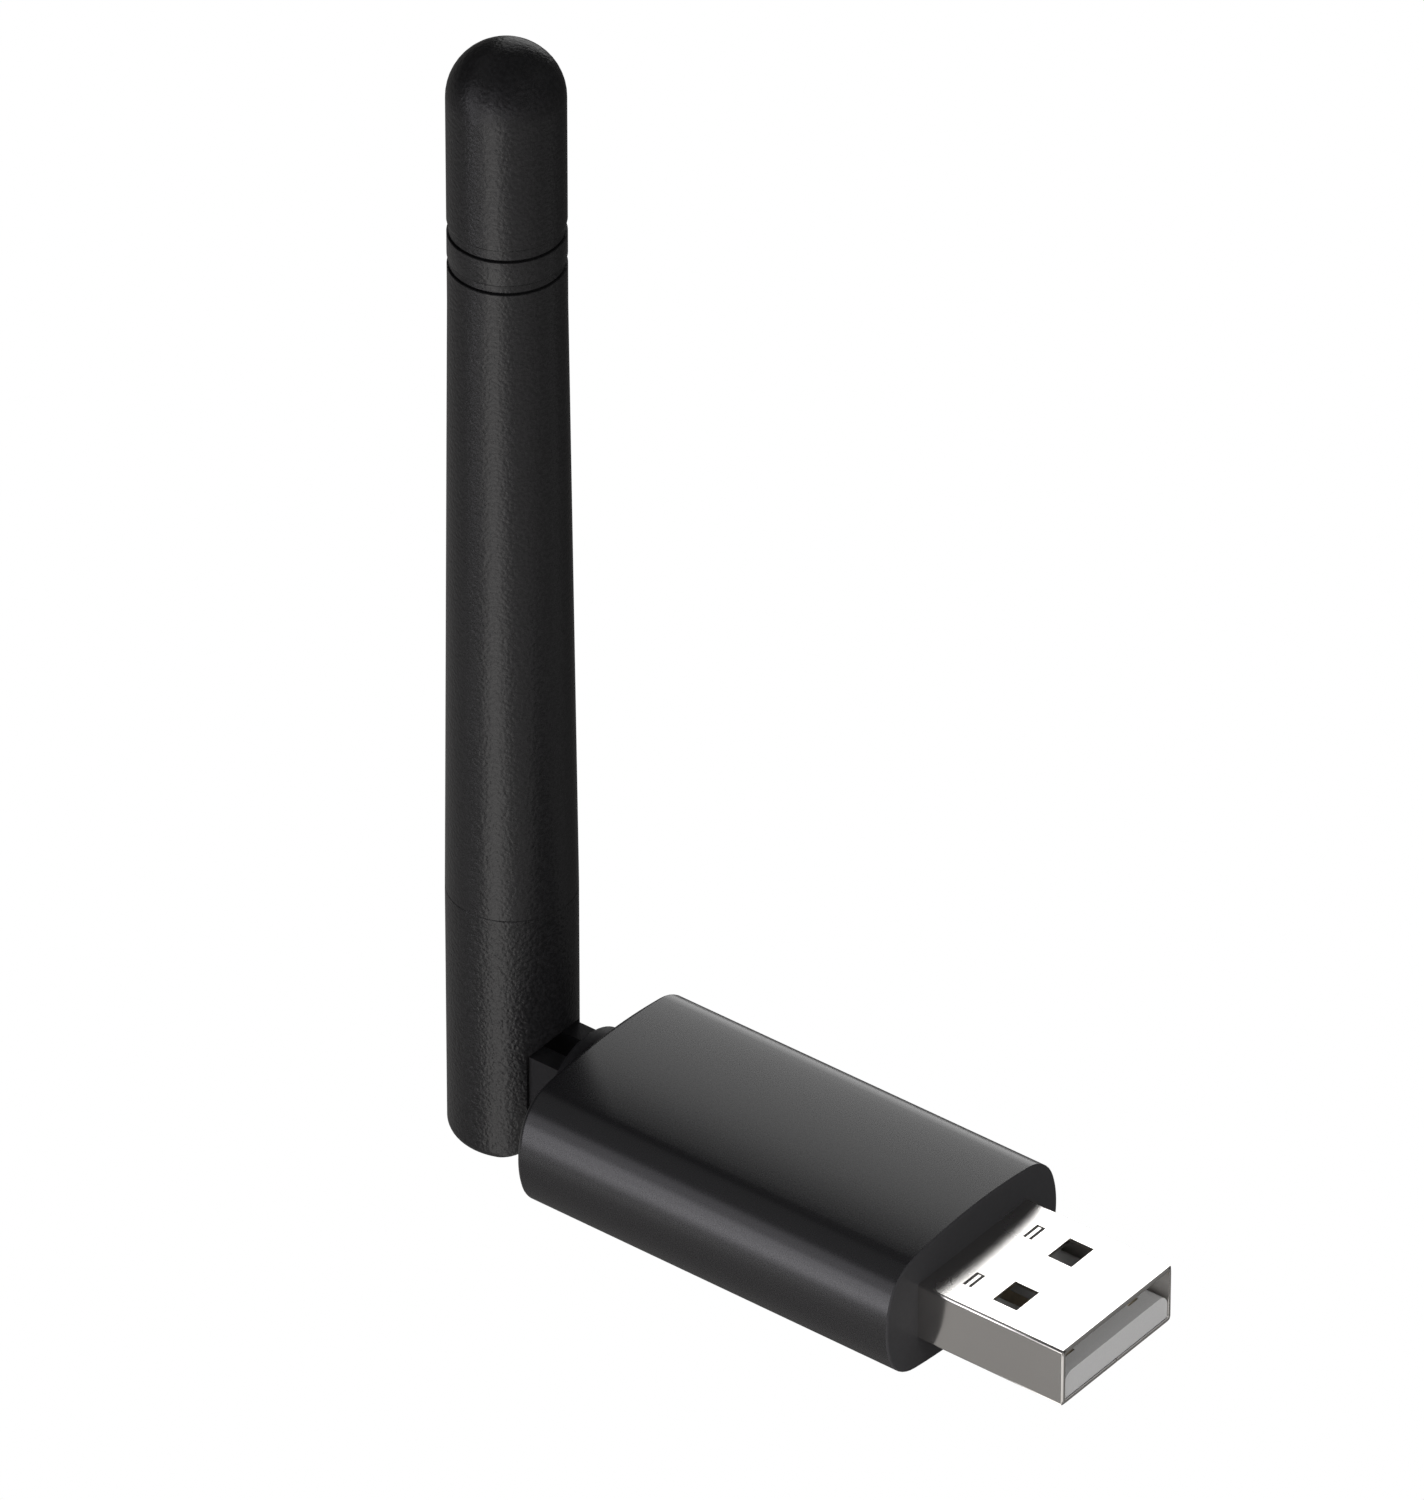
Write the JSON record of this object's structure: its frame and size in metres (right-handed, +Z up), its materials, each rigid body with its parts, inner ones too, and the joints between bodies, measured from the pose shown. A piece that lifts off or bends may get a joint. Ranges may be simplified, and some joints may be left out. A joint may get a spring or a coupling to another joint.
{
  "type": "smart home usb radio stick",
  "caption": "Black USB radio stick with a flat plug in front and a grained stub antenna that tilts and swivels behind.",
  "frame": {"origin": "centre of the plug where it leaves the front face of the body", "axes": "+X out of the plug, +Z up along the raised antenna, +Y to the left seen from behind looking along the plug"},
  "size_m": [0.0554, 0.0186, 0.0875],
  "materials": {
    "plug_metal": "bright nickel plate, smooth",
    "insulator_plastic": "light grey moulded plastic",
    "contact_gold": "gold plated",
    "body_plastic": "satin black moulding",
    "cap_plastic": "satin black moulding",
    "board_laminate": "green solder resist",
    "tinned_metal": "tinned sheet",
    "chip_resin": "moulded resin",
    "ceramic": "fired ceramic",
    "coax_jacket": "thin brown jacket",
    "ring_rubber": "soft rubber",
    "swivel_plastic": "satin black moulding",
    "spring_steel": "oiled spring steel",
    "base_plastic": "black, coarse spark grain",
    "sheath_plastic": "black, fine spark grain",
    "radiator_brass": "drawn brass",
    "spacer_plastic": "white plastic"
  },
  "bodies": {
    "stick": {"plug_shell": "plug_metal", "plug_insulator": "insulator_plastic", "plug_contact_1": "contact_gold", "plug_contact_2": "contact_gold", "plug_contact_3": "contact_gold", "plug_contact_4": "contact_gold", "housing_sleeve": "body_plastic", "front_cap": "cap_plastic", "circuit_board": "board_laminate", "shield_can": "tinned_metal", "radio_chip": "chip_resin", "bridge_chip": "chip_resin", "crystal": "tinned_metal", "voltage_regulator": "chip_resin", "ceramic_capacitors": "ceramic", "chip_resistors": "chip_resin", "coax_socket": "contact_gold", "coax_plug": "contact_gold", "coax_lead": "coax_jacket", "friction_ring": "ring_rubber"},
    "knuckle": {"swivel_collar": "swivel_plastic", "retaining_clip": "spring_steel"},
    "antenna": {"antenna_base": "base_plastic", "antenna_sheath": "sheath_plastic", "coax_ferrule": "contact_gold", "coax_line": "coax_jacket", "radiator_tube": "radiator_brass", "radiator_whip": "radiator_brass", "tube_spacer": "spacer_plastic", "whip_spacer": "spacer_plastic"}
  },
  "joints": [
    {"name": "antenna_swivel", "type": "hinge", "parent": "stick", "child": "knuckle", "pos_m": [-0.0314, 0, 0], "axis": [1, 0, 0], "range_deg": [-90, 90]},
    {"name": "antenna_tilt", "type": "hinge", "parent": "knuckle", "child": "antenna", "pos_m": [-0.0389, 0, 0], "axis": [0, -1, 0], "range_deg": [0, 90]}
  ]
}
